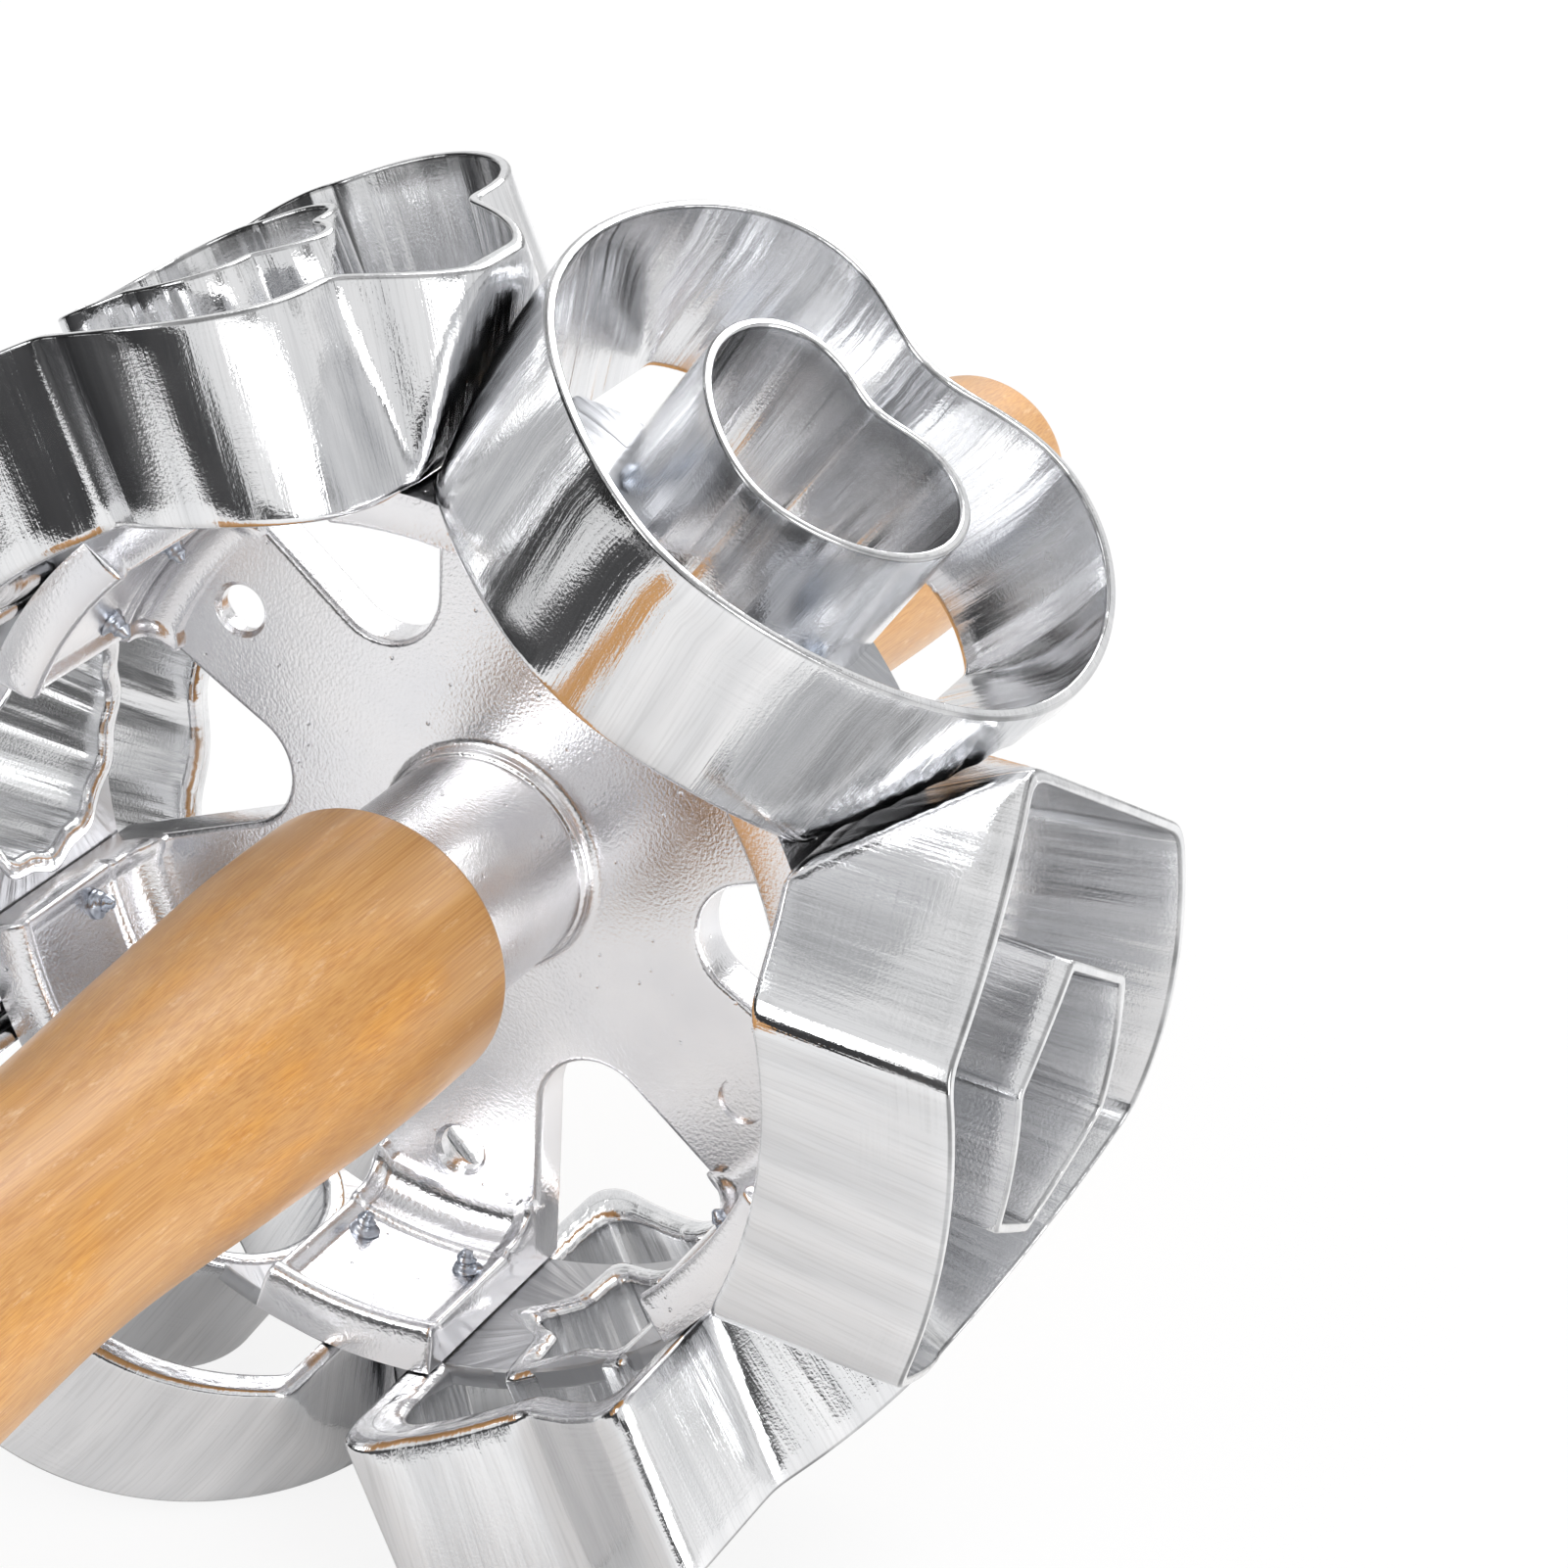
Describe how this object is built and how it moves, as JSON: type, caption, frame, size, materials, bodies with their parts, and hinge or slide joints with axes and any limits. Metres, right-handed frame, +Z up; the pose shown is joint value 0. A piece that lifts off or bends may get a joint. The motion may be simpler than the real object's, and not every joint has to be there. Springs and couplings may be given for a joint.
{
  "type": "doughnut cutter roller",
  "caption": "Hand roller with a wheel of shaped doughnut cutters on a cast spider that spins on a rod between two turned wooden handles.",
  "frame": {"origin": "on the table under the middle of the wheel, below the rod", "axes": "+Y along the rod towards the far handle, +Z up, the hexagon cutter points along +X"},
  "size_m": [0.18, 0.3596, 0.1798],
  "materials": {
    "cast_aluminium": "matt sand-cast aluminium",
    "polished_aluminium": "polished cast aluminium with fine brush marks",
    "zinc_steel": "zinc-plated steel",
    "varnished_wood": "turned hardwood, varnished"
  },
  "bodies": {
    "carrier": {"axle_rod": "zinc_steel", "handle_far": "varnished_wood", "thrust_washer_far": "zinc_steel", "end_washer_far": "zinc_steel", "end_nut_far": "zinc_steel", "handle_near": "varnished_wood", "thrust_washer_near": "zinc_steel", "end_washer_near": "zinc_steel", "end_nut_near": "zinc_steel"},
    "wheel": {"spider": "cast_aluminium", "cutter_hexagon": "polished_aluminium", "cutter_heart": "polished_aluminium", "cutter_flower": "polished_aluminium", "cutter_scalloped": "polished_aluminium", "cutter_round": "polished_aluminium", "cutter_star": "polished_aluminium", "cutter_screw_1a": "zinc_steel", "cutter_screw_1b": "zinc_steel", "cutter_screw_2a": "zinc_steel", "cutter_screw_2b": "zinc_steel", "cutter_screw_3a": "zinc_steel", "cutter_screw_3b": "zinc_steel", "cutter_screw_4a": "zinc_steel", "cutter_screw_4b": "zinc_steel", "cutter_screw_5a": "zinc_steel", "cutter_screw_5b": "zinc_steel", "cutter_screw_6a": "zinc_steel", "cutter_screw_6b": "zinc_steel"}
  },
  "joints": [
    {"name": "wheel_spin", "type": "hinge", "parent": "carrier", "child": "wheel", "pos_m": [0, 0, 0.09], "axis": [0, 1, 0], "continuous": true}
  ]
}
